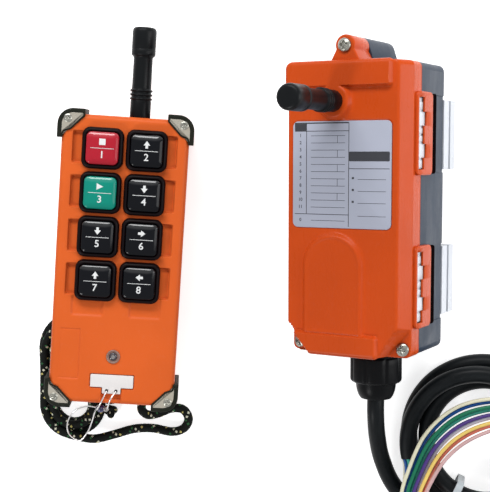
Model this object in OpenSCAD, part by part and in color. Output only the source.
// Crane radio remote control: a hand-held transmitter with eight push keys, and
// its receiver with a tied coil of control cable. The pair lies on a table, +Z up.
// Each unit is drawn flat in its own frame (x right, y to the antenna end, z out of
// the front, origin in the middle of its back) and is then rolled to its rest.

/* [Transmitter] */
// Width of the transmitter's two shells
tx_w = 72; // [68:0.5:80]
// Length of the transmitter's two shells
tx_l = 165; // [160:1:180]
// Depth from the back to the front face
tx_d = 36; // [34:0.5:44]
// Depth of the rear shell, up to the seam
tx_seam = 17; // [16:0.5:18]
// Wall of the moulded shells
tx_wall = 2.2; // [1.8:0.1:2.6]
// Corner radius of the shells, seen from the front
tx_corner_r = 9; // [6:0.5:12]
// Softened edge along the front and the back
tx_edge = 3; // [2:0.25:3.5]
// Angle that the transmitter leans at, with its left side up
tx_roll = 15; // [12:0.5:15]

/* [Keys] */
// Distance between the two columns of keys
key_pitch_x = 24.8; // [24.4:0.1:26]
// Distance between the four rows of keys
key_pitch_y = 25; // [24.4:0.1:26]
// Distance from the middle of the case to the first row
key_row_y = 64; // [62:0.5:66]
// Width of the square bezel round a key
bezel_w = 23.4; // [22.6:0.1:24]
// Height of a bezel over the front face
bezel_h = 3.6; // [2.5:0.1:5]
// Width of a key cap
key_w = 18.2; // [16:0.1:18.8]
// Height of a key cap over its bezel
key_proud = 2.4; // [2:0.1:4]
// Travel of a key
key_travel = 1.8; // [0.8:0.1:2]
// Running clearance round a key cap
key_gap = 0.3; // [0.2:0.05:0.4]

/* [Corner guards] */
// Width over the two guards of an end
guard_w = 77; // [75:0.5:84]
// Length over the guards of both ends
guard_l = 171; // [169:0.5:186]
// Length of a guard along the end of the case
guard_arm_x = 16.5; // [15:0.5:18]
// Length of a guard along the side of the case
guard_arm_y = 18.5; // [17:0.5:22]
// Width of the rubber rim round the metal plate
guard_rim = 2.4; // [1.5:0.1:3]
// Height of the guards over the front face
guard_proud = 1; // [0.5:0.1:2]

/* [Antennas] */
// Length of an antenna outside its case
antenna_l = 51; // [45:1:70]
// Radius of the rubber sleeve
antenna_r = 5.5; // [4.5:0.1:6.5]
// Radius of the thick end
antenna_cap_r = 6.8; // [6.6:0.1:9]
// Length of the thick end
antenna_cap_l = 15; // [10:0.5:20]
// Radius of the threaded foot
antenna_foot_r = 5.9; // [5:0.1:6.5]

/* [Safety key] */
// Width of the plate's cross bar
safety_w = 24.6; // [22:0.2:28]
// Length of the plate's cross bar
safety_bar = 7.4; // [6:0.1:9]
// Width of the plate's stem
safety_stem_w = 10.6; // [9:0.1:13]
// Thickness of the plate
safety_t = 2.6; // [2:0.1:3]

/* [Receiver] */
// Width of the receiver
rx_w = 69; // [66:0.5:76]
// Length of the receiver
rx_l = 155.4; // [150:0.2:170]
// Depth from the back to the front face
rx_d = 54; // [52:0.5:60]
// Depth of the back shell, up to the seam
rx_seam = 35; // [34:0.5:36]
// Wall of the receiver's mouldings
rx_wall = 2.5; // [2:0.1:3]
// Corner radius of the receiver, seen from the front
rx_corner_r = 4; // [3:0.5:7]
// Angle that the receiver leans at, with its right side up
rx_roll = 18; // [16:0.5:20]
// Width of the rating plate
plate_w = 57.4; // [50:0.2:58]
// Length of the rating plate
plate_l = 57; // [50:0.2:58]

/* [Latches] */
// Length of a latch foot behind the receiver
foot_l = 38; // [34:0.5:40]
// Width of a latch foot
foot_w = 12; // [10:0.5:13]
// Travel of a latch along the case
latch_travel = 2; // [1:0.1:2.4]
// Length of a window in a side tab
window_l = 37.5; // [36:0.5:40]

/* [Gland and cable] */
// Distance across the flats of the gland nut
gland_af = 26; // [24:0.5:28]
// Diameter of the control cable
cable_d = 9.6; // [9:0.1:10.2]
// Diameter of a core wire
wire_d = 2.1; // [1.8:0.1:2.2]
// Turns of cable in each of the coil's two layers
coil_turns = 1.5; // [1.5:1:2.5]

/* [Lanyard] */
// Diameter of the braided lanyard cord
lanyard_d = 5.4; // [5:0.1:6]
// Turns of cord in each of the hank's two layers
hank_turns = 2; // [1:1:2]
// Diameter of the steel wire on the safety key
steel_wire_d = 0.9; // [0.6:0.05:1.2]

/* [Hidden] */

// Round forms, and the one overrun of every cut
$fn = 48;
hull_fn = 32;
cut = 1;
seat_gap = 0.3;

// Place of each unit's own frame on the table
tx_x = -79;
tx_y = -8.4;
tx_turn = -3.9;
rx_x = 78.6;
rx_y = 23;
rx_edge = 2;
tx_z = (tx_w / 2 - tx_edge) * sin(tx_roll);
rx_z = (rx_w / 2 - rx_edge) * sin(rx_roll);

orange = [0.87, 0.38, 0.14];
black = [0.07, 0.07, 0.08];
steel = [0.75, 0.76, 0.78];
brass = [0.78, 0.62, 0.30];
green = [0.10, 0.40, 0.22];
rubber = [0.20, 0.21, 0.22];
nylon = [0.90, 0.91, 0.90];

// The middle of the pair's footprint, which is set down on the origin
middle_x = -1.354;
middle_y = 13.973;

module set_down() {
    translate([-middle_x, -middle_y, 0]) children();
}

module on_transmitter() {
    set_down() translate([tx_x, tx_y, tx_z]) rotate([0, tx_roll, tx_turn]) children();
}

module on_receiver() {
    set_down() translate([rx_x, rx_y, rx_z]) rotate([0, -rx_roll, 0]) children();
}

// A rectangle with true round corners, about the origin
module round_rect(w, l, r) {
    square([w - 2 * r, l], center = true);
    square([w, l - 2 * r], center = true);
    for (x = [-1, 1], y = [-1, 1])
        translate([x * (w / 2 - r), y * (l / 2 - r)]) circle(r = r);
}

module slab(w, l, r, z0, z1) {
    translate([0, 0, z0]) linear_extrude(z1 - z0) round_rect(w, l, r);
}

module block(x0, x1, y0, y1, z0, z1) {
    translate([x0, y0, z0]) cube([x1 - x0, y1 - y0, z1 - z0]);
}

// A slab whose face at z1 is drawn in by edge, over a height of edge
module soft_slab(w, l, r, z0, z1, edge) {
    low = min(z0, z1);
    high = max(z0, z1);
    rise = z1 > z0 ? edge : -edge;
    thin = edge / 10;
    hull($fn = hull_fn) {
        slab(w, l, r, z1 > z0 ? low : low + edge, z1 > z0 ? high - edge : high);
        slab(w - 2 * edge, l - 2 * edge, r - edge / 2,
            z1 > z0 ? high - thin : low, z1 > z0 ? high : low + thin);
        slab(w - edge / 2, l - edge / 2, r, z1 > z0 ? low : z1 - rise / 2,
            z1 > z0 ? z1 - rise / 2 : high);
    }
}

// A screw along -z: its head's top at the origin, with a cross recess
module cross_screw(head_r, head_h, shank_r, shank_l) {
    slot_w = head_r / 3;
    difference() {
        union() {
            translate([0, 0, -head_h]) cylinder(r = head_r, h = head_h);
            translate([0, 0, -shank_l]) cylinder(r = shank_r, h = shank_l);
        }
        for (turn = [0, 90]) rotate(turn)
            translate([-head_r / 2, -slot_w / 2, -head_h / 2]) cube([head_r, slot_w, head_h]);
    }
}

// TRANSMITTER

tx_inner = tx_d - tx_wall;
cavity_w = tx_w - 2 * tx_wall;
cavity_l = tx_l - 2 * tx_wall;
cavity_r = tx_corner_r - tx_wall;
seal_w = 1.2;
seal_h = 1;

// Corner guards: the outline of one corner, drawn in by inset, in the +x +y corner
guard_z0 = tx_seam / 2;
guard_top = tx_d + guard_proud;
guard_r = tx_corner_r;
guard_plate_t = 1.2;
guard_screw_inset = 0.38 * guard_arm_x;
guard_screw_r = 1.6;
guard_screw_tip = 3;
guard_screw_l = guard_top + guard_screw_r / 2 - guard_screw_tip;

module guard_outline(inset) {
    hx = guard_w / 2 - inset;
    hy = guard_l / 2 - inset;
    ax = guard_arm_x - 2 * inset;
    ay = guard_arm_y - 2 * inset;
    intersection() {
        round_rect(2 * hx, 2 * hy, guard_r - inset);
        polygon([[hx, hy], [hx - ax, hy], [hx - ax, hy - ay / 4], [hx - 0.82 * ax, hy - 0.42 * ay],
            [hx - 0.5 * ax, hy - 0.72 * ay], [hx - ax / 4, hy - 0.8 * ay], [hx - ax / 5, hy - ay],
            [hx, hy - ay]]);
    }
}

// The bed of a guard's plate: the full rim at the outside, half of it along the slanting side
module guard_bed() {
    intersection() {
        offset(delta = -guard_rim / 2) guard_outline(0);
        round_rect(guard_w - 2 * guard_rim, guard_l - 2 * guard_rim, guard_r - guard_rim);
    }
}

module at_corners() {
    for (x = [0, 1], y = [0, 1]) mirror([x, 0]) mirror([0, y]) children();
}

module guard_cuts(z0, z1) {
    translate([0, 0, z0]) linear_extrude(z1 - z0) at_corners() guard_outline(0);
}

// The hollow of a shell, which leaves a wall behind each guard
module tx_hollow(z0, z1) {
    translate([0, 0, z0]) linear_extrude(z1 - z0) difference() {
        round_rect(cavity_w, cavity_l, cavity_r);
        at_corners() guard_outline(-tx_wall);
    }
}

// Keys: four rows and two columns
key_rows = 4;
key_hole = key_w + 2 * key_gap;
bezel_r = bezel_w / 5;
key_r = key_w / 6;
flange_over = 1;
flange_t = 1.4;
flange_top = tx_inner - seat_gap;
key_top = tx_d + bezel_h + key_proud;

function key_x(column) = (column - 0.5) * key_pitch_x;
function key_y(row) = key_row_y - row * key_pitch_y;

module at_keys() {
    for (row = [0 : key_rows - 1], column = [0, 1])
        translate([key_x(column), key_y(row), 0]) children();
}

// The stepped pockets beside the keys and under the last row
pocket_depth = 1.1;
pocket_l = 0.72 * key_pitch_y;
pocket_x0 = key_pitch_x / 2 + bezel_w / 2 - tx_edge;
pocket_in = 2.2;
pocket_x1 = tx_w / 2 - pocket_in * tx_edge;
step_w = 17.6;
step_down = 7;
step_y0 = key_row_y - (key_rows - 1) * key_pitch_y - bezel_w / 2 - step_down;
step_depth = 0.7;

module face_pockets() {
    for (side = [-1, 1]) {
        for (row = [0 : key_rows - 1])
            translate([side * (pocket_x0 + pocket_x1) / 2, key_y(row), tx_d - pocket_depth])
                linear_extrude(pocket_depth + cut) square([pocket_x1 - pocket_x0, pocket_l], center = true);
        translate([side * (pocket_x0 - step_w / 2), step_y0 + step_w / 2, tx_d - step_depth])
            linear_extrude(step_depth + cut) square(step_w, center = true);
    }
}

// The safety key's plate and its pocket, with the slot that runs out to the end
safety_x = 0;
safety_y = -69;
safety_stem_l = 3.6;
safety_gap = 0.3;
safety_hole_r = 0.8;
safety_hole_x = 2.7;
magnet_r = 3;
magnet_t = 1.4;

module safety_outline(grow, stem_l) {
    square([safety_w + 2 * grow, safety_bar + 2 * grow], center = true);
    translate([-safety_stem_w / 2 - grow, -safety_bar / 2 - stem_l - grow])
        square([safety_stem_w + 2 * grow, stem_l + 2 * grow]);
}

led_y = -54.6;
led_r = 2.5;
led_ring_r = 4;
led_ring_h = 0.8;
label_x = -25;
label_y = -54;
label_w = 11.5;
label_l = 29;
label_depth = 0.4;

antenna_x = 7;
antenna_z = tx_seam + tx_d / 4 + 0.5;
antenna_spigot_r = 3;
antenna_spigot_l = 6;
tx_antenna_y = tx_l / 2;

module antenna_hole() {
    translate([antenna_x, tx_antenna_y + cut, antenna_z]) rotate([90, 0, 0])
        cylinder(r = antenna_spigot_r, h = tx_wall + 2 * cut);
}

module transmitter_front_shell() color(orange) on_transmitter() difference() {
    soft_slab(tx_w, tx_l, tx_corner_r, tx_seam, tx_d, tx_edge);
    difference() {
        tx_hollow(tx_seam - cut, tx_inner);
        block(-safety_w / 2 - tx_wall, safety_w / 2 + tx_wall, -tx_l / 2, safety_y + safety_bar / 2 + tx_wall,
            tx_d - safety_t - tx_wall, tx_d);
    }
    guard_cuts(tx_seam - cut, tx_d + cut);
    at_keys() slab(key_hole, key_hole, key_r, tx_inner - cut, tx_d + cut);
    face_pockets();
    translate([0, led_y, tx_inner - cut]) cylinder(r = led_r + seat_gap, h = tx_wall + 2 * cut);
    translate([safety_x, safety_y, tx_d - safety_t])
        linear_extrude(safety_t + cut) safety_outline(safety_gap, tx_l / 2 + safety_y);
    translate([label_x, label_y, tx_d - label_depth])
        linear_extrude(label_depth + cut) square([label_w, label_l], center = true);
    antenna_hole();
}

// Rear shell, with the battery bay, its cover's recess and the lanyard boss
battery_r = 7.2;
battery_l = 50.5;
battery_y = -49;
cell_lift = 0.6;
battery_z = battery_r + tx_wall + cell_lift;
battery_gap = 0.4;
cover_w = 36;
cover_l = 58;
cover_t = 1.8;
cover_gap = 0.2;
lanyard_x = 17.5;
lanyard_z = 10;
lanyard_boss_r = 4;
lanyard_boss_l = 3;
bay_wall = 1.6;
bay_h = tx_seam - tx_wall;

module transmitter_rear_shell() color(orange) on_transmitter() difference() {
    union() {
        difference() {
            soft_slab(tx_w, tx_l, tx_corner_r, tx_seam, 0, tx_edge);
            tx_hollow(tx_wall, tx_seam + cut);
        }
        // Two rails that hold the cells
        for (side = [-1, 1])
            translate([side * (2 * battery_r + bay_wall), battery_y, tx_wall + bay_h / 2 - cut / 2])
                cube([bay_wall, battery_l, bay_h - cut], center = true);
        translate([lanyard_x, -tx_l / 2 + tx_wall, lanyard_z]) rotate([90, 0, 0])
            cylinder(r = lanyard_boss_r, h = lanyard_boss_l + tx_wall);
    }
    guard_cuts(guard_z0, tx_seam + cut);
    guard_bores();
    translate([0, cover_screw_y, -cut]) cylinder(r = cover_screw_r + cover_gap / 2, h = tx_seam);
    slab_cover(cover_gap, -cut, cover_t);
    translate([0, battery_y, -cut]) linear_extrude(tx_wall + 2 * cut)
        square([cover_w - 3 * bay_wall, cover_l - 4 * bay_wall], center = true);
    antenna_hole();
}

module slab_cover(grow, z0, z1) {
    translate([0, battery_y, 0])
        slab(cover_w + 2 * grow, cover_l + 2 * grow, bay_wall + grow, z0, z1);
}

cover_screw_y = battery_y + cover_l / 2 - 2 * bay_wall;
cover_screw_r = 1.3;

module battery_cover() color(orange) on_transmitter() difference() {
    slab_cover(0, 0, cover_t);
    translate([0, cover_screw_y, -cut]) cylinder(r = cover_screw_r, h = cover_t + 2 * cut);
    translate([0, cover_screw_y, -cut]) cylinder(r = 2.1 * cover_screw_r, h = cut + 0.75 * cover_screw_r);
    // Grip ribs are cut between shallow grooves
    for (i = [-2 : 2]) translate([0, battery_y + (2 * i - 4) * bay_wall, -cut])
        linear_extrude(cut + cover_t / 4) square([cover_w / 2, bay_wall], center = true);
}

module battery_cover_screw() color(steel) on_transmitter()
    translate([0, cover_screw_y, cover_screw_r / 4]) mirror([0, 0, 1])
        cross_screw(2 * cover_screw_r, cover_screw_r / 2, cover_screw_r, cover_t + tx_wall + cover_screw_r);

module battery_cells() color(steel) on_transmitter()
    for (side = [-1, 1]) translate([side * (battery_r + battery_gap / 2), battery_y - battery_l / 2, battery_z])
        rotate([-90, 0, 0]) {
            cylinder(r = battery_r, h = 0.97 * battery_l);
            cylinder(r = battery_r / 3, h = battery_l);
        }

module battery_contacts() color(brass) on_transmitter() {
    contact_t = 0.4;
    for (end = [-1, 1], side = [-1, 1])
        translate([side * (battery_r + battery_gap / 2), battery_y + end * (battery_l / 2 + contact_t), battery_z])
            cube([1.5 * battery_r, contact_t, 1.5 * battery_r], center = true);
}

module tx_seal_line(inset) {
    difference() {
        round_rect(cavity_w - 2 * inset, cavity_l - 2 * inset, cavity_r - inset);
        at_corners() guard_outline(-tx_wall - inset);
    }
}

module shell_seal() color(black) on_transmitter()
    translate([0, 0, tx_seam]) linear_extrude(seal_h) difference() {
        tx_seal_line(0);
        tx_seal_line(seal_w);
    }

module guard_screw_places() {
    for (x = [-1, 1], y = [-1, 1])
        translate([x * (guard_w / 2 - guard_screw_inset), y * (guard_l / 2 - guard_screw_inset), guard_top])
            children();
}

module guard_bores() {
    guard_screw_places() mirror([0, 0, 1]) translate([0, 0, -cut])
        cylinder(r = guard_screw_r, h = guard_top - guard_screw_tip + cut);
}

module corner_guards() color(rubber) on_transmitter() difference() {
    guard_cuts(guard_z0, guard_top);
    translate([0, 0, guard_top - guard_plate_t])
        linear_extrude(guard_plate_t + cut) at_corners() guard_bed();
    guard_bores();
}

module guard_plates() color(steel) on_transmitter() difference() {
    translate([0, 0, guard_top - guard_plate_t])
        linear_extrude(guard_plate_t) at_corners() offset(delta = -seat_gap / 2) guard_bed();
    guard_screw_places() mirror([0, 0, 1]) translate([0, 0, -cut])
        cylinder(r = guard_screw_r, h = guard_plate_t + 2 * cut);
}

module guard_screws() color(steel) on_transmitter()
    guard_screw_places() translate([0, 0, guard_screw_r / 2])
        cross_screw(1.6 * guard_screw_r, guard_screw_r / 2, guard_screw_r, guard_screw_l);

module key_bezels() color(black) on_transmitter() at_keys() difference() {
    slab(bezel_w, bezel_w, bezel_r, tx_d, tx_d + bezel_h);
    slab(key_hole, key_hole, key_r, tx_d - cut, tx_d + bezel_h + cut);
}

module push_key(row, column, tint) {
    color(tint) on_transmitter() translate([key_x(column), key_y(row), 0]) {
        hull($fn = hull_fn) {
            slab(key_w, key_w, key_r, flange_top - flange_t / 2, key_top - key_proud / 2);
            slab(0.94 * key_w, 0.94 * key_w, key_r, key_top - key_proud, key_top - key_proud / 6);
            slab(0.8 * key_w, 0.8 * key_w, key_r, key_top - key_proud, key_top);
        }
        slab(key_w + 2 * flange_over, key_w + 2 * flange_over, key_r, flange_top - flange_t, flange_top);
    }
}

module stop_key() push_key(0, 0, [0.75, 0.17, 0.22]);
module up_key() push_key(0, 1, black);
module start_key() push_key(1, 0, [0.05, 0.52, 0.40]);
module down_key() push_key(1, 1, black);
module south_key() push_key(2, 0, black);
module east_key() push_key(2, 1, black);
module north_key() push_key(3, 0, black);
module west_key() push_key(3, 1, black);

// Inside the transmitter: the mat of rubber domes, the board and what it carries
board_t = 1.6;
switch_h = 2.4;
dome_top = flange_top - flange_t - key_travel - seat_gap;
dome_r = 5;
dome_h = 3.4;
mat_t = 1;
mat_top = dome_top - dome_h;
board_top = mat_top - mat_t;
board_w = 56;
board_l = 142;
board_y = 4;
mat_l = (key_rows - 1) * key_pitch_y + bezel_w;
mat_y = key_row_y - (key_rows - 1) / 2 * key_pitch_y;

// A flat piece whose corners clear the walls behind the guards
module in_corners(z0, z1) {
    translate([0, 0, z0]) linear_extrude(z1 - z0) difference() {
        children();
        at_corners() guard_outline(-tx_wall - seat_gap);
    }
}

module keypad_mat() color([0.55, 0.56, 0.58]) on_transmitter() difference() {
    union() {
        in_corners(board_top, mat_top) translate([0, mat_y]) round_rect(2 * key_pitch_x, mat_l, key_r);
        at_keys() translate([0, 0, mat_top - mat_t / 2])
            cylinder(r1 = dome_r, r2 = dome_r / 2, h = dome_h + mat_t / 2);
    }
    at_keys() translate([0, 0, board_top - cut]) cylinder(r = dome_r / 2 + seat_gap, h = switch_h + cut + seat_gap);
}

module control_board() color(green) on_transmitter()
    in_corners(board_top - board_t, board_top)
        translate([0, board_y]) round_rect(board_w, board_l, bezel_r);

module key_switches() color(black) on_transmitter()
    at_keys() translate([0, 0, board_top]) cylinder(r = dome_r / 2, h = switch_h);

can_w = 26;
can_l = 32;
can_h = 4;

can_up = 40;

module radio_module() color(steel) on_transmitter() translate([0, board_y + can_up, 0]) difference() {
    block(-can_w / 2, can_w / 2, -can_l / 2, can_l / 2, board_top - board_t - can_h, board_top - board_t);
    for (i = [-1 : 1]) translate([i * can_w / 4, 0, board_top - board_t - can_h - cut])
        cylinder(r = seal_w, h = cut + can_h / 4);
}

module reed_switch() color([0.6, 0.7, 0.65]) on_transmitter()
    translate([safety_x + safety_w / 2, board_y - board_l / 2 + can_h, board_top + led_r / 2])
        rotate([0, -90, 0]) cylinder(r = led_r / 2, h = safety_w);

module status_led() color([0.62, 0.63, 0.62]) on_transmitter() translate([0, led_y, board_top]) {
    cylinder(r = led_r, h = tx_d - board_top);
    translate([0, 0, tx_d - board_top]) scale([1, 1, led_ring_h / led_r]) sphere(r = led_r);
}

module led_ring() color(rubber) on_transmitter() translate([0, led_y, tx_d]) rotate_extrude()
    polygon([[led_r + seat_gap, 0], [led_ring_r, 0], [led_ring_r, led_ring_h / 2],
        [led_ring_r - led_ring_h / 2, led_ring_h], [led_r + seat_gap, led_ring_h]]);

// An antenna stands along +z from the origin: a threaded foot, then the rubber sleeve
foot_h = 9.5;
ring_h = 1.15;
ring_count = 3;
spigot_gap = 0.05;

module antenna_foot() {
    cylinder(r = antenna_foot_r, h = foot_h);
    translate([0, 0, -antenna_spigot_l]) cylinder(r = antenna_spigot_r - spigot_gap, h = antenna_spigot_l + cut);
}

module antenna_sleeve() {
    flare = antenna_cap_r - antenna_r;
    rotate_extrude() polygon(concat(
        [[0, foot_h], [antenna_foot_r, foot_h]],
        [for (i = [0 : ring_count - 1], p = [0 : 3])
            [antenna_r + (p == 1 || p == 2 ? 0.8 * ring_h : ring_h / 8), foot_h + (2 * i + [0.5, 0.7, 1.4, 1.6][p]) * ring_h]],
        [[antenna_r, foot_h + (2 * ring_count + 1) * ring_h],
        [antenna_r, antenna_l - antenna_cap_l - flare],
        [antenna_cap_r, antenna_l - antenna_cap_l],
        [antenna_cap_r, antenna_l - flare],
        [antenna_cap_r - flare / 3, antenna_l - flare / 3],
        [antenna_cap_r - flare, antenna_l],
        [0, antenna_l]]));
}

module at_tx_antenna() {
    on_transmitter() translate([antenna_x, tx_antenna_y, antenna_z]) rotate([-90, 0, 0]) children();
}

module transmitter_antenna_foot() color(black) at_tx_antenna() antenna_foot();
module transmitter_antenna() color(black) at_tx_antenna() antenna_sleeve();

module safety_key() color(nylon) on_transmitter()
    translate([safety_x, safety_y, tx_d - safety_t]) difference() {
        linear_extrude(safety_t + safety_gap) safety_outline(0, safety_stem_l);
        for (side = [-1, 1])
            translate([side * safety_hole_x, -safety_bar / 2 - safety_stem_l / 2, -cut])
                cylinder(r = safety_hole_r, h = safety_t + 2 * cut + safety_gap);
        translate([0, 0, -cut]) cylinder(r = magnet_r, h = magnet_t + cut);
    }

module key_magnet() color(steel) on_transmitter()
    translate([safety_x, safety_y, tx_d - safety_t]) cylinder(r = magnet_r - seat_gap / 3, h = magnet_t);

// CORDS

// A closed tube through the points p, with n sides
function unit(v) = v / norm(v);
function tangent(p, i) = unit(p[min(i + 1, len(p) - 1)] - p[max(i - 1, 0)]);
function side_of(t) = unit(cross(t, abs(t[2]) > 0.9 ? [1, 0, 0] : [0, 0, 1]));
function ring(c, t, r, n) = let (u = side_of(t), v = cross(t, u))
    [for (k = [0 : n - 1]) c + r * (cos(360 * k / n) * u + sin(360 * k / n) * v)];

module tube(p, r, n) {
    m = len(p);
    rings = [for (i = [0 : m - 1]) each ring(p[i], tangent(p, i), r, n)];
    walls = [for (i = [0 : m - 2], k = [0 : n - 1]) each [
        [i * n + k, (i + 1) * n + k, i * n + (k + 1) % n],
        [i * n + (k + 1) % n, (i + 1) * n + k, (i + 1) * n + (k + 1) % n]]];
    start = [for (k = [1 : n - 2]) [0, k, k + 1]];
    end = [for (k = [1 : n - 2]) [(m - 1) * n, (m - 1) * n + k + 1, (m - 1) * n + k]];
    polyhedron(points = rings, faces = concat(walls, start, end));
}

// A smooth curve through hand-chosen points, steps rings for each stretch
function knot(p, i) = p[max(0, min(len(p) - 1, i))];
function spline(p, i, t) = let (a = knot(p, i - 1), b = knot(p, i), c = knot(p, i + 1), d = knot(p, i + 2))
    (2 * b + (c - a) * t + (2 * a - 5 * b + 4 * c - d) * t * t + (3 * b - a - 3 * c + d) * t * t * t) / 2;
function smooth(p, steps) = concat(
    [for (i = [0 : len(p) - 2], s = [0 : steps - 1]) spline(p, i, s / steps)], [p[len(p) - 1]]);

cord_sides = 8;
form_sides = 6;
rings_per_turn = 24;

// The control cable, from the gland to its coil, which spirals in and out again
coil_x = 134;
coil_y = -109;
coil_r = 48.8;
coil_gap = 0.8;
coil_pitch = cable_d + coil_gap;
layer_pitch = cable_d + coil_gap;
tie_t = 1;
coil_lift = tie_t + seat_gap;
cable_z = cable_d / 2 + coil_lift;
coil_start = -90;
coil_total = coil_turns + 1.3;

function coil_point(turn) =
    let (a = coil_start + 360 * turn, r = coil_r - coil_pitch * min(turn, 2 * coil_turns + 0.5 - turn))
    [coil_x + r * cos(a), coil_y + r * sin(a),
        cable_z + layer_pitch * min(1, max(0, (turn - coil_turns) * 2))];
coil_points = [for (i = [0 : rings_per_turn * coil_total]) coil_point(i / rings_per_turn)];
function least_gap(p, far) =
    min([for (i = [0 : len(p) - 1], j = [i + far : 1 : len(p) - 1]) norm(p[i] - p[j])]);
echo(coil_least_gap = least_gap(coil_points, rings_per_turn / 2) - cable_d);

module cable_coil() color(black) set_down() tube(coil_points, cable_d / 2, form_sides);

// The gland in the receiver's lower end, and the stretch of cable that leaves it
gland_x = 2.5;
gland_z = rx_seam / 2;
gland_y = -rx_l / 2;
gland_flange_t = 5;
gland_nut_l = 15;
gland_dome_l = 9;
gland_l = gland_flange_t + gland_nut_l + gland_dome_l;
gland_thread_r = gland_af / 2 - 3;
cable_exit = [rx_x + gland_x * cos(rx_roll) - gland_z * sin(rx_roll), rx_y - rx_l / 2 - gland_l,
    rx_z + gland_x * sin(rx_roll) + gland_z * cos(rx_roll)];
drop_points = concat([cable_exit, cable_exit - [0, cable_d, 0]],
    [[76, -107, 22], [78, -122, 14], [84, -138, 8], [96, -151, 6.5], [114, -157, 6.1]],
    [coil_points[0] - [cable_d, 0, 0], coil_points[0] - [coil_gap, 0, 0]]);

module cable_drop() color(black) set_down() tube(smooth(drop_points, 3), cable_d / 2, cord_sides);

// Nine cores leave the sheath, fold back below it and fan out over the coil
core_count = 9;
core_colours = ["darkgreen", "blue", "white", "seagreen", "purple", "yellow", "firebrick", "salmon", "gray"];
core_margin = 0.2;
core_ring = cable_d / 2 - wire_d / 2 - core_margin;
fold_x = 90.4;
core_spread = 1.62;
fold_y = -148;
fold_z = 22;
fold_r = 7.6;
core_gap = 0.5;
core_level = wire_d + core_gap;
fan_fall = 4.2;
sheath_end = coil_points[len(coil_points) - 1];
sheath_way = tangent(coil_points, len(coil_points) - 1);
fan_upper = [[93, -128], [103, -104], [120, -88], [142, -82], [166, -84]];
fan_lower = [[106, -132], [114, -118], [126, -107], [143, -99], [166, -96]];

function core_points(i) = let (
    level = i % 2,
    a = level == 0 ? 180 + 20 * i : 160 - 20 * i,
    across = [-sheath_way[1], sheath_way[0], 0],
    start = sheath_end + core_ring * (cos(a) * across + sin(a) * [0, 0, 1]),
    x = fold_x + core_spread * i,
    r = fold_r - core_level * level,
    share = i / (core_count - 1))
    concat([start, start + 3 * wire_d * sheath_way, [x, fold_y, fold_z - r]],
        [for (b = [-60, 0, 60]) [x, fold_y - r * cos(b), fold_z + r * sin(b)]],
        [[x, fold_y + r, fold_z + r]],
        [for (k = [0 : len(fan_upper) - 1]) let (p = fan_upper[k] * (1 - share) + fan_lower[k] * share)
            [p[0], p[1], fold_z + r - fan_fall * min(1, k / 2)]]);
core_finest = 6;
core_lines = [for (i = [0 : core_count - 1]) smooth(core_points(i), core_finest)];
echo(cores_least_gap = [for (i = [0 : core_count - 2]) min([for (j = [i + 1 : core_count - 1])
    min([for (p = core_lines[i], q = core_lines[j]) norm(p - q)])]) - wire_d]);

module core_wires() for (i = [0 : core_count - 1])
    color(core_colours[i]) set_down() tube(smooth(core_points(i), 2), wire_d / 2, form_sides);

// A tie round the strands, where the coil turns at its lower left
tie_angle = 245;
tie_w = 4;
tie_in = 26.4;
tie_out = 45.2;
tie_top = 21.6;

module cable_tie() color(nylon) set_down() translate([coil_x, coil_y, 0]) rotate(tie_angle)
    translate([(tie_in + tie_out) / 2, tie_w / 2, tie_top / 2 + seat_gap / 3]) rotate([90, 0, 0])
        linear_extrude(tie_w) {
            difference() {
                round_rect(tie_out - tie_in + 2 * tie_t, tie_top, tie_w);
                round_rect(tie_out - tie_in, tie_top - 2 * tie_t, tie_w - tie_t);
            }
            translate([(tie_out - tie_in) / 4, tie_top / 2]) square([tie_w, tie_w / 2], center = true);
        }

// The lanyard's hank: runs with round ends, drawn in and out again in two layers
hank_x = -112;
hank_y = -84;
hank_r = 23;
hank_run = 16;
hank_gap = 0.5;
hank_pitch = lanyard_d + hank_gap;
lanyard_low = lanyard_d / 2 + seat_gap;
lead_gap = 0.6;
run_rings = 3;
end_rings = 9;
hank_part = 0.17;
hank_total = 2 * hank_turns - hank_part;

function hank_station(k) = let (s = k % rings_per_turn, half = run_rings + end_rings,
    a = s < run_rings ? 0 : s < half ? (s - run_rings) * 180 / end_rings
        : s < half + run_rings ? 180 : 180 + (s - half - run_rings) * 180 / end_rings,
    y = s < run_rings ? 2 * s / run_rings - 1 : s < half ? 1
        : s < half + run_rings ? 1 - 2 * (s - half) / run_rings : -1)
    [cos(a), sin(a), y];
function hank_point(k) = let (turn = k / rings_per_turn, st = hank_station(k),
    r = hank_r - hank_pitch * min(turn, 2 * hank_turns + 0.5 - turn))
    [hank_x + r * st[0], hank_y + r * st[1] + hank_run * st[2],
        lanyard_low + (hank_pitch - hank_gap / 3) * min(1, max(0, (turn - hank_turns) * 2))];
hank_points = [for (k = [0 : floor(rings_per_turn * hank_total)]) hank_point(k)];
echo(hank_least_gap = least_gap(hank_points, rings_per_turn / 2) - lanyard_d);

module lanyard_hank() color(black) set_down() tube(hank_points, lanyard_d / 2, form_sides);

// The lobe of cord between the hank and the boss on the case
hank_end = hank_points[len(hank_points) - 1];
hank_way = tangent(hank_points, len(hank_points) - 1);

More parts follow.
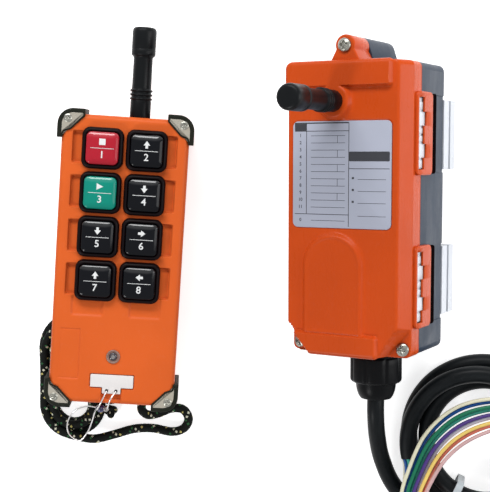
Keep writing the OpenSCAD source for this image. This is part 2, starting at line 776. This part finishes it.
function on_tx(p) = let (x = p[0] * cos(tx_roll) + p[2] * sin(tx_roll), z = p[2] * cos(tx_roll) - p[0] * sin(tx_roll))
    [tx_x + x * cos(tx_turn) - p[1] * sin(tx_turn), tx_y + x * sin(tx_turn) + p[1] * cos(tx_turn), tx_z + z];
lobe_end = on_tx([lanyard_x, -tx_l / 2 - lanyard_boss_l, lanyard_z]);
lobe_way = on_tx([lanyard_x, -tx_l / 2 - lanyard_boss_l - lanyard_d, lanyard_z]);
lobe_points = concat([hank_end + lead_gap * hank_way, hank_end + lanyard_d * hank_way],
    [[-98, -121, 9], [-86, -118.5, 5.5], [-74, -115, 3.2], [-62, -114, 3.2], [-50, -115.5, 3.2], [-42.5, -113, 3.2],
    [-39.5, -107, 3.2], [-43, -101.5, 3.2], [-50, -101, 4.2], [-57, -103.5, 7.5], [-62.5, -104, 11]],
    [lobe_way, lobe_end]);

module lanyard_lobe() color(black) set_down() tube(smooth(lobe_points, 3), lanyard_d / 2, cord_sides);

// The steel wire through the safety key's holes, with its crimp and bead
wire_hole_y = safety_y - safety_bar / 2 - safety_stem_l / 2;
wire_top = tx_d + safety_gap + steel_wire_d / 2 + seat_gap / 3;
key_wire_points = concat([on_tx([-safety_hole_x, wire_hole_y, wire_top])],
    [[-79.5, -89, 47], [-83, -94, 44], [-88, -98, 34], [-94, -107, 23], [-99, -115, 17],
    [-105, -121, 15], [-112, -117, 14.5], [-112.5, -110, 14.5], [-108, -103, 15], [-99, -99, 18],
    [-89, -98, 25], [-82, -97, 33], [-78, -94, 41], [-74.5, -88, 46.5]],
    [on_tx([safety_hole_x, wire_hole_y, wire_top])]);

module key_wire() color(steel) set_down() tube(smooth(key_wire_points, 3), steel_wire_d / 2, cord_sides);

// A short sleeve on the wire at the points a and b
module sleeve_on_wire(a, b, r) {
    way = b - a;
    translate(a) rotate([0, acos(way[2] / norm(way)), atan2(way[1], way[0])]) difference() {
        cylinder(r = r, h = norm(way));
        translate([0, 0, -cut]) cylinder(r = steel_wire_d / 2 + seat_gap, h = norm(way) + 2 * cut);
    }
}

crimp_from = key_wire_points[12];
crimp_to = key_wire_points[13] * 0.6 + key_wire_points[12] * 0.4;
bead_from = key_wire_points[11];
bead_to = key_wire_points[12] * 0.5 + key_wire_points[11] * 0.5;

module wire_crimp() color(nylon) set_down() sleeve_on_wire(crimp_from, crimp_to, 3.4 * steel_wire_d / 2);
module wire_bead() color([0.12, 0.12, 0.35]) set_down() sleeve_on_wire(bead_from, bead_to, 5.4 * steel_wire_d / 2);

// RECEIVER

face_x0 = -rx_w / 2;
face_margin = 5;
face_x1 = rx_w / 2 - face_margin;
cover_step_part = 0.421;
cover_step = cover_step_part * (rx_d - rx_seam);
rx_inner = rx_d - rx_wall;
rx_hollow_w = rx_w - 2 * rx_wall;
rx_hollow_l = rx_l - 2 * rx_wall;

// The ear at the top, with a round end about its screw
ear_x = -1;
ear_reach = 8.4;
ear_y = rx_l / 2 + ear_reach;
ear_r = 5.6;
ear_foot = 18.6;

module ear_outline() {
    translate([ear_x, ear_y]) circle(r = ear_r);
    lean = asin((ear_foot / 2 - ear_r) / (ear_y - rx_l / 2 + rx_wall));
    polygon([[ear_x - ear_foot / 2, rx_l / 2 - rx_wall], [ear_x + ear_foot / 2, rx_l / 2 - rx_wall],
        [ear_x + ear_r * cos(lean), ear_y + ear_r * sin(lean)], [ear_x - ear_r * cos(lean), ear_y + ear_r * sin(lean)]]);
}

screw_r = 1.9;
screw_head_r = 3.6;
screw_head_h = 2.2;
corner_screw_in = 4.6;
corner_screw_x = rx_w / 2 - corner_screw_in;
corner_screw_y = -rx_l / 2 + corner_screw_in;
notch_w = 9.4;
notch_z = rx_d - cover_step;
screw_places = [[ear_x, ear_y, rx_d], [corner_screw_x, corner_screw_y, notch_z], [-corner_screw_x, corner_screw_y, notch_z]];

module screw_bores(z0, z1, r) {
    for (p = screw_places) translate([p[0], p[1], z0]) cylinder(r = r, h = z1 - z0);
}

// Side tabs with windows over the latches' grips
tab_t = 2.6;
tab_z0 = 24.6;
tab_z1 = 44;
tab_skin = 1;
grip_end_gap = 0.5;
grip_l = window_l - grip_end_gap;
tab_l = grip_l + 2 * (latch_travel + seat_gap + tab_skin);
window_z0 = 37;
window_z1 = 42.5;
wide_rib = 3;
upper_latch_y = 40;
lower_latch_y = -40.6;
latch_plate_t = 0.7;
latch_rib_t = 0.5;
leg_w = 16;
leg_t = 2.6;
leg_in = 6;
leg_x = rx_w / 2 - leg_in;
leg_z = 25;
leg_gap = 0.4;
foot_in = 0.5;
foot_x1 = rx_w / 2 - foot_in;
foot_x0 = foot_x1 - foot_w;
foot_depth = (rx_z + foot_x0 * sin(rx_roll)) / cos(rx_roll);

// The grip's ribs run along the latch; the second and fifth are wider
rib_share = [0.14, 0.23, 0.11, 0.11, 0.23, 0.14];
rib_gap = window_l / 60;
wide_ribs = [1, 4];
function sum_to(v, i) = i < 0 ? 0 : v[i] + sum_to(v, i - 1);
function rib_y0(i) = grip_l * (sum_to(rib_share, i - 1) - 1 / 2) + rib_gap;
function rib_y1(i) = grip_l * (sum_to(rib_share, i) - 1 / 2) - rib_gap;

module side_tab() {
    x0 = rx_w / 2 - cut;
    x1 = rx_w / 2 + tab_t;
    difference() {
        union() {
            block(x0, x1, -tab_l / 2, tab_l / 2, rx_seam, tab_z1);
            block(rx_w / 2, x1, -tab_l / 2, tab_l / 2, tab_z0, tab_z1);
        }
        block(rx_w / 2, x1 - tab_skin, -tab_l / 2 + tab_skin, tab_l / 2 - tab_skin, tab_z0 - cut, tab_z1 - tab_skin);
        block(rx_w / 2, x1 + cut, -window_l / 2, window_l / 2, window_z0, window_z1);
        for (i = wide_ribs) block(rx_w / 2, x1 + cut, rib_y0(i), rib_y1(i), window_z0 - wide_rib, window_z1);
    }
}

// The raised forms of the front: header bar, antenna boss, arch and lower bar
bar_x1 = 25.6;
bar_l = 13;
bar_y0 = rx_l / 2 - bar_l;
bar_h = 3;
rx_antenna_x = -6.5;
rx_antenna_y = 57;
antenna_boss_r = 9;
arch_x = -7;
arch_r = 17.2;
arch_top = -13;
arch_h = 1.6;
low_bar_y = -66.5;
low_bar_x0 = -30;
low_bar_x1 = 18.5;
plate_x = -2.6;
plate_y = 18.4;
plate_t = 0.8;
plate_r = 3;

module arch_outline(r, y0) {
    translate([arch_x, arch_top - arch_r]) circle(r = r);
    translate([arch_x - r, y0]) square([2 * r, arch_top - arch_r - y0]);
}

module receiver_cover() color(orange) on_receiver() difference() {
    union() {
        hull($fn = hull_fn) {
            slab(rx_w, rx_l, rx_corner_r, rx_seam, notch_z);
            translate([(face_x0 + face_x1) / 2, 0, 0])
                slab(face_x1 - face_x0 - 2 * plate_t, rx_l - 2 * plate_t, rx_corner_r, notch_z, rx_d);
        }
        block(face_x0 + plate_t, bar_x1, bar_y0, rx_l / 2 - plate_t, notch_z, rx_d + bar_h);
        translate([rx_antenna_x, rx_antenna_y, notch_z]) cylinder(r = antenna_boss_r, h = cover_step + bar_h);
        translate([0, 0, notch_z]) linear_extrude(cover_step + arch_h) arch_outline(arch_r, low_bar_y - cut);
        block(low_bar_x0, low_bar_x1, -rx_l / 2 + plate_t, low_bar_y, notch_z, rx_d + bar_h);
        translate([0, 0, rx_seam]) linear_extrude(rx_d - rx_seam) ear_outline();
        for (y = [upper_latch_y, lower_latch_y]) translate([0, y, 0]) side_tab();
    }
    difference() {
        slab(rx_hollow_w, rx_hollow_l, rx_corner_r, rx_seam - cut, rx_inner);
        block(face_x1 - rx_wall, rx_w, -rx_l, rx_l, notch_z - rx_wall, rx_d);
        for (p = [screw_places[1], screw_places[2]]) translate([p[0], p[1], rx_seam - cut])
            cylinder(r = 2 * screw_r + rx_wall, h = rx_d);
    }
    for (side = [-1, 1]) translate([side * corner_screw_x, corner_screw_y, notch_z + rx_d / 2])
        cube([2 * (rx_w / 2 - corner_screw_x) + 2 * cut, notch_w + cut, rx_d], center = true);
    screw_bores(rx_seam - cut, rx_d + cut, screw_r);
    translate([plate_x, plate_y, 0]) slab(plate_w + seat_gap, plate_l + seat_gap, plate_r, rx_d - plate_t / 2, rx_d + cut);
    translate([rx_antenna_x, rx_antenna_y, rx_inner - cut])
        cylinder(r = antenna_spigot_r, h = rx_d);
}

insert_r = 3.2;
insert_bore_r = 2.1;
insert_l = 10;
boss_wall = 2.2;
board_margin = 19.7;
board_clear = 1.6;
rboard_l = rx_l - 2 * board_margin;
rboard_y = 3;
insert_far = rboard_l / 2 + insert_r + boss_wall + board_clear;
insert_ys = [rboard_y - insert_far, rboard_y + insert_far];
side_recess = 0.9;

module receiver_back_shell() color([0.32, 0.38, 0.44]) on_receiver() difference() {
    union() {
        difference() {
            soft_slab(rx_w, rx_l, rx_corner_r, rx_seam, 0, rx_edge);
            slab(rx_hollow_w, rx_hollow_l, rx_corner_r - rx_wall / 2, rx_wall, rx_seam + cut);
        }
        linear_extrude(rx_seam) ear_outline();
        for (y = insert_ys) translate([0, y, 0])
            cylinder(r = insert_r + boss_wall, h = insert_l + boss_wall);
        for (side = [-1, 1]) {
            translate([side * corner_screw_x, corner_screw_y, rx_wall / 2])
                cylinder(r = screw_r + boss_wall, h = rx_seam - rx_wall / 2);
        }
        // A walled well round each latch's leg
        for (y = [upper_latch_y, lower_latch_y])
            block(leg_x - 2 * leg_t, rx_w / 2 - cut, y - leg_w / 2 - 2 * leg_t,
                y + leg_w / 2 + latch_travel + 2 * leg_t, rx_wall / 2, leg_z + 3 * leg_t);
    }
    for (y = insert_ys) translate([0, y, -cut]) cylinder(r = insert_r, h = insert_l + cut);
    for (y = [upper_latch_y, lower_latch_y]) {
        block(leg_x - leg_t, rx_w / 2 - rx_wall, y - leg_w / 2 - leg_t, y + leg_w / 2 + latch_travel + leg_t,
            rx_wall, leg_z + 2 * leg_t);
        block(leg_x - leg_gap, leg_x + leg_t + leg_gap, y - leg_w / 2 - leg_gap,
            y + leg_w / 2 + latch_travel + leg_gap, -cut, rx_wall + cut);
        block(leg_x, rx_w, y - leg_w / 2 - leg_gap, y + leg_w / 2 + latch_travel + leg_gap,
            leg_z - leg_gap, leg_z + leg_t + leg_gap);
    }
    for (y = [upper_latch_y, lower_latch_y])
        block(rx_w / 2 - side_recess, rx_w, y - tab_l / 2 + tab_skin, y + tab_l / 2 - tab_skin, -cut, tab_z0);
    screw_bores(rx_wall, rx_seam + cut, screw_r);
    translate([gland_x, gland_y, gland_z]) rotate([90, 0, 0])
        cylinder(r = gland_thread_r, h = 4 * rx_wall, center = true);
}

module rear_inserts() color(brass) on_receiver() for (y = insert_ys)
    translate([0, y, 0]) difference() {
        cylinder(r = insert_r, h = insert_l);
        translate([0, 0, -cut]) cylinder(r = insert_bore_r, h = insert_l + 2 * cut);
    }

module rx_seal_line(inset) {
    difference() {
        round_rect(rx_hollow_w - 2 * inset, rx_hollow_l - 2 * inset, rx_corner_r - inset);
        for (side = [-1, 1]) translate([side * corner_screw_x, corner_screw_y])
            circle(r = 2 * screw_r + rx_wall + inset);
    }
}

module cover_seal() color(black) on_receiver()
    translate([0, 0, rx_seam]) linear_extrude(seal_h) difference() {
        rx_seal_line(0);
        rx_seal_line(seal_w);
    }

module cover_screws() color(steel) on_receiver() for (p = screw_places)
    translate(p + [0, 0, screw_head_h]) cross_screw(screw_head_r, screw_head_h, screw_r, p[2] - rx_seam / 2);

module rating_plate() color([0.78, 0.79, 0.84]) on_receiver() translate([plate_x, plate_y, 0])
    slab(plate_w, plate_l, plate_r, rx_d - plate_t / 2, rx_d + plate_t / 2);

module at_rx_antenna() {
    on_receiver() translate([rx_antenna_x, rx_antenna_y, rx_d + bar_h]) children();
}

module receiver_antenna_foot() color(black) at_rx_antenna() antenna_foot();
module receiver_antenna() color(black) at_rx_antenna() antenna_sleeve();

// A latch: its grip, the leg through the case and the foot behind it

module latch() {
    grip_x = rx_w / 2 + leg_gap / 2;
    block(grip_x, grip_x + latch_plate_t, -grip_l / 2, grip_l / 2, leg_z, tab_z1 - tab_skin - seat_gap);
    for (i = [0 : len(rib_share) - 1]) block(grip_x, grip_x + latch_plate_t + latch_rib_t, rib_y0(i), rib_y1(i),
        window_z0 - (len(search(i, wide_ribs)) > 0 ? wide_rib : 0), window_z1);
    block(leg_x, grip_x + latch_plate_t, -leg_w / 2, leg_w / 2, leg_z, leg_z + leg_t);
    block(leg_x, leg_x + leg_t, -leg_w / 2, leg_w / 2, -foot_depth / 2, leg_z + leg_t);
    difference() {
        block(foot_x0, foot_x1, -foot_l / 2, foot_l / 2, -foot_depth, -seat_gap);
        block(foot_x0 + leg_t, foot_x1 + cut, -foot_l, foot_l, -0.6 * foot_depth, -0.45 * foot_depth);
    }
}

module upper_latch() color(nylon) on_receiver() translate([0, upper_latch_y, 0]) latch();
module lower_latch() color(nylon) on_receiver() translate([0, lower_latch_y, 0]) latch();

module at_gland() {
    on_receiver() translate([gland_x, -rx_l / 2, gland_z]) rotate([90, 0, 0]) children();
}

gland_bore_r = cable_d / 2 + seat_gap;
hex_r = gland_af / 2 / cos(30);
grip_r = 1.2;

module gland_body() color(black) at_gland() difference() {
    union() {
        cylinder(r = hex_r, h = gland_flange_t, $fn = 6);
        translate([0, 0, -3 * rx_wall]) cylinder(r = gland_thread_r - seat_gap / 3, h = 3 * rx_wall + cut);
        cylinder(r = gland_thread_r - seat_gap / 3, h = gland_flange_t + gland_nut_l / 2);
    }
    translate([0, 0, -4 * rx_wall]) cylinder(r = gland_bore_r, h = gland_l + 4 * rx_wall);
}

module gland_seal() color(rubber) at_gland() difference() {
    translate([0, 0, gland_flange_t + gland_nut_l / 2 + seat_gap])
        cylinder(r = gland_thread_r - 1, h = gland_nut_l / 2 - 2 * seat_gap);
    cylinder(r = gland_bore_r, h = gland_l);
}

// The nut: eight grips round a barrel, then a dome that closes on the cable
module gland_nut() color(black) at_gland() translate([0, 0, gland_flange_t]) difference() {
    union() {
        difference() {
            cylinder(r = hex_r - grip_r / 2, h = gland_nut_l);
            for (i = [0 : 7]) rotate(45 * i) translate([hex_r, 0, -cut])
                cylinder(r = grip_r, h = gland_nut_l + 2 * cut);
        }
        rotate_extrude() polygon(concat([[0, gland_nut_l - cut]],
            [for (a = [0 : 15 : 60]) [0.6 * gland_thread_r + 0.5 * gland_thread_r * cos(a),
                gland_nut_l + gland_dome_l * sin(a) / sin(60)]],
            [[0, gland_nut_l + gland_dome_l]]));
    }
    translate([0, 0, -cut]) cylinder(r = gland_thread_r, h = gland_nut_l + cut);
    cylinder(r = gland_bore_r, h = gland_l);
}

// Inside the receiver: the relay board and its parts, and the radio decoder above it
rboard_z = 8;
rboard_w = 46;
rboard_x = -6;
rboard_top = rboard_z + board_t;
relay_w = 10;
relay_l = 20;
relay_h = 15;
relay_gap = 0.8;
relay_end = 15.5;
relay_y0 = rboard_y - rboard_l / 2 + relay_end;
pillar_r = 2.4;
dboard_z = 38;
dboard_l = 70;
dboard_down = 12.4;
dboard_y = rboard_y - dboard_down;
core_w = 30;
core_l = 32;
core_h = 20;
yoke_w = 34;
yoke_l = 12;
yoke_h = 24;
trafo_end = 15;
trafo_x = rboard_x - relay_gap;
trafo_y = rboard_y + rboard_l / 2 - trafo_end;
terminal_w = 40;
terminal_l = 9;
terminal_h = 12;
terminal_pitch = 5;
terminals = 8;
terminal_y = rboard_y - rboard_l / 2 + terminal_l / 2;
fuse_r = 2.5;
fuse_l = 20;
fuse_pitch = 10;
fuse_up = 13;

// A block about a middle point that stands on the board
module on_board(x, y, w, l, z0, z1) {
    block(x - w / 2, x + w / 2, y - l / 2, y + l / 2, rboard_top + z0, rboard_top + z1);
}

module relay_board() color(green) on_receiver() translate([rboard_x, rboard_y, 0])
    slab(rboard_w, rboard_l, pillar_r, rboard_z, rboard_top);

module relays() color([0.15, 0.3, 0.6]) on_receiver()
    for (row = [0, 1], i = [0 : 3])
        on_board(rboard_x + (i - 1.5) * (relay_w + relay_gap), relay_y0 + relay_l / 2 + row * (relay_l + 2 * relay_gap),
            relay_w, relay_l, 0, relay_h);

module transformer() color([0.25, 0.25, 0.27]) on_receiver() {
    on_board(trafo_x, trafo_y, core_w, core_l, board_t, core_h);
    on_board(trafo_x, trafo_y, yoke_w, yoke_l, 0, yoke_h);
}

module terminal_block() color([0.15, 0.5, 0.3]) on_receiver() difference() {
    on_board(rboard_x, terminal_y, terminal_w, terminal_l, 0, terminal_h);
    for (i = [0 : terminals - 1])
        translate([rboard_x + (i - (terminals - 1) / 2) * terminal_pitch, terminal_y, rboard_top + terminal_h])
            cylinder(r = screw_r, h = screw_head_h, center = true);
}

module fuses() color(steel) on_receiver()
    for (i = [-1 : 1]) translate([rboard_x + i * fuse_pitch, rboard_y + fuse_up, rboard_top + fuse_r])
        rotate([90, 0, 0]) cylinder(r = fuse_r, h = fuse_l, center = true);

module board_pillars() color(steel) on_receiver() for (x = [-1, 1], y = [-1, 1]) {
    translate([rboard_x + x * (rboard_w / 2 - pillar_r), rboard_y + y * (rboard_l / 2 - pillar_r), rx_wall])
        cylinder(r = pillar_r, h = rboard_z - rx_wall);
    translate([rboard_x + x * (rboard_w / 2 - pillar_r), dboard_y + y * (dboard_l / 2 - pillar_r), rboard_top])
        cylinder(r = pillar_r, h = dboard_z - rboard_top);
}

module decoder_board() color(green) on_receiver() translate([rboard_x, dboard_y, 0])
    slab(rboard_w, dboard_l, pillar_r, dboard_z, dboard_z + board_t);

transmitter_front_shell();
transmitter_rear_shell();
shell_seal();
battery_cover();
battery_cover_screw();
battery_cells();
battery_contacts();
corner_guards();
guard_plates();
guard_screws();
key_bezels();
stop_key();
up_key();
start_key();
down_key();
south_key();
east_key();
north_key();
west_key();
keypad_mat();
control_board();
key_switches();
radio_module();
reed_switch();
status_led();
led_ring();
transmitter_antenna_foot();
transmitter_antenna();
safety_key();
key_magnet();
key_wire();
wire_crimp();
wire_bead();
lanyard_hank();
lanyard_lobe();
receiver_cover();
receiver_back_shell();
cover_seal();
cover_screws();
rating_plate();
receiver_antenna_foot();
receiver_antenna();
upper_latch();
lower_latch();
rear_inserts();
gland_body();
gland_seal();
gland_nut();
relay_board();
relays();
transformer();
terminal_block();
fuses();
decoder_board();
board_pillars();
cable_drop();
cable_coil();
core_wires();
cable_tie();
